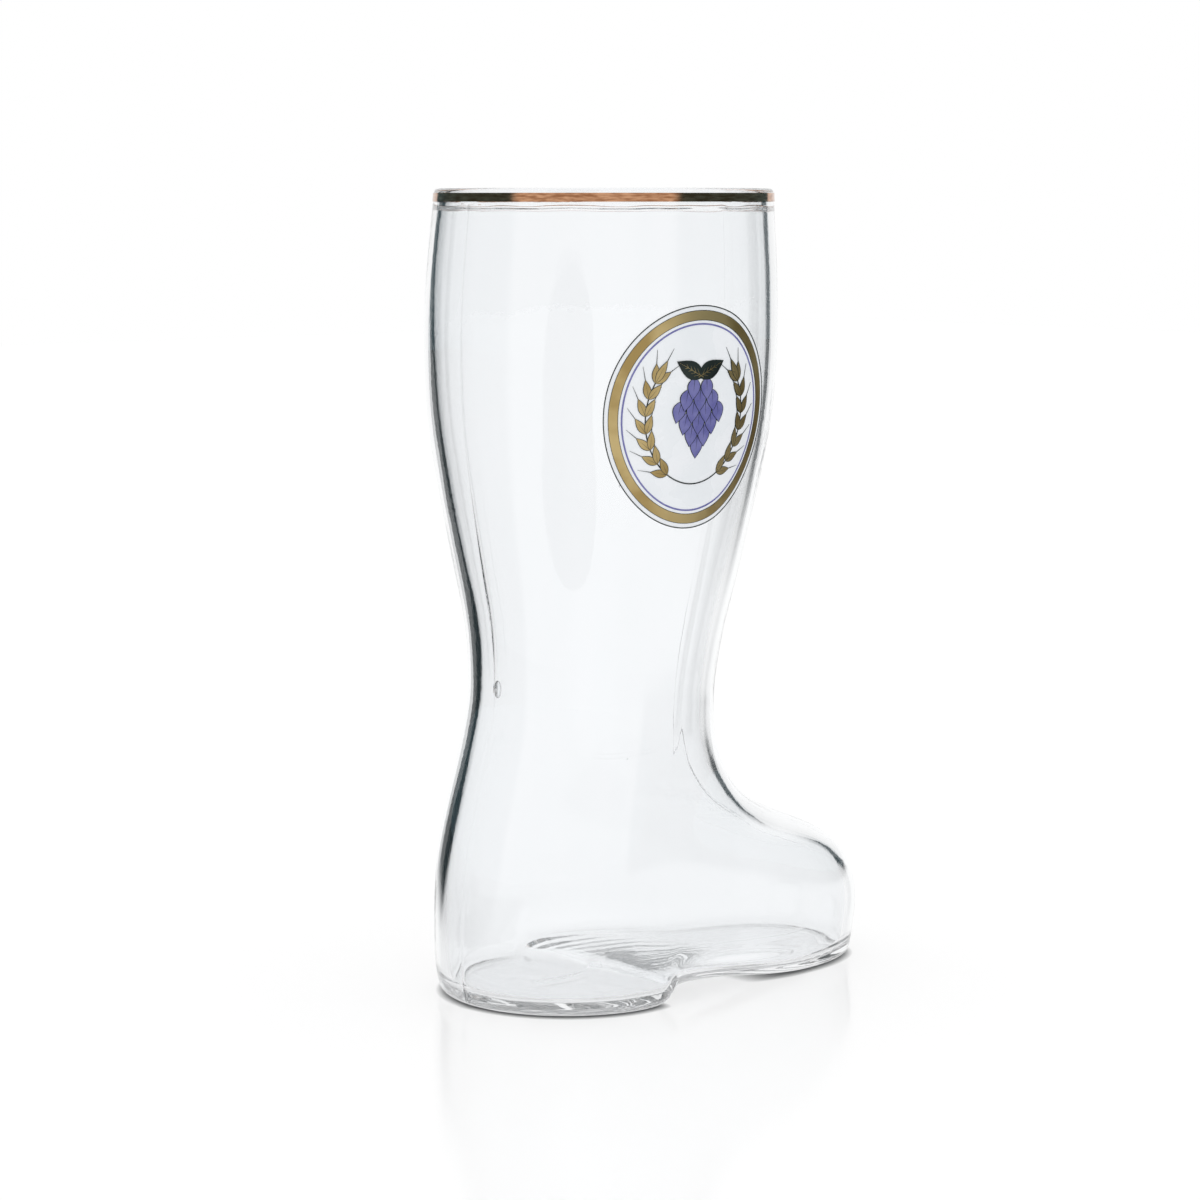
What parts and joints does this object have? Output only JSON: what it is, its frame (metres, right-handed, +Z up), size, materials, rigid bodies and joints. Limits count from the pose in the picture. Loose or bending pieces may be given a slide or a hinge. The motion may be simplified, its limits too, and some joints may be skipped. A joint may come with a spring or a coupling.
{
  "type": "beer boot glass",
  "caption": "Clear blown drinking glass in the shape of a tall boot, with a gilded lip and a fired oval label on one side.",
  "frame": {"origin": "middle of the heel's flat seat, on the floor", "axes": "+X towards the toe, +Z up along the leg, -Y the side that carries the label"},
  "size_m": [0.1125, 0.0804, 0.182],
  "materials": {
    "glass": "polished",
    "gilt": "polished",
    "white_enamel": "gloss",
    "gold_print": "satin",
    "dark_enamel": "gloss",
    "blue_enamel": "gloss"
  },
  "bodies": {
    "root": {"glass_boot": "glass", "gilded_lip": "gilt", "label_ground": "white_enamel", "label_gold_ring": "gold_print", "label_dark_lines": "dark_enamel", "label_blue_line": "blue_enamel", "label_barley": "gold_print", "label_hop": "blue_enamel"}
  },
  "joints": []
}
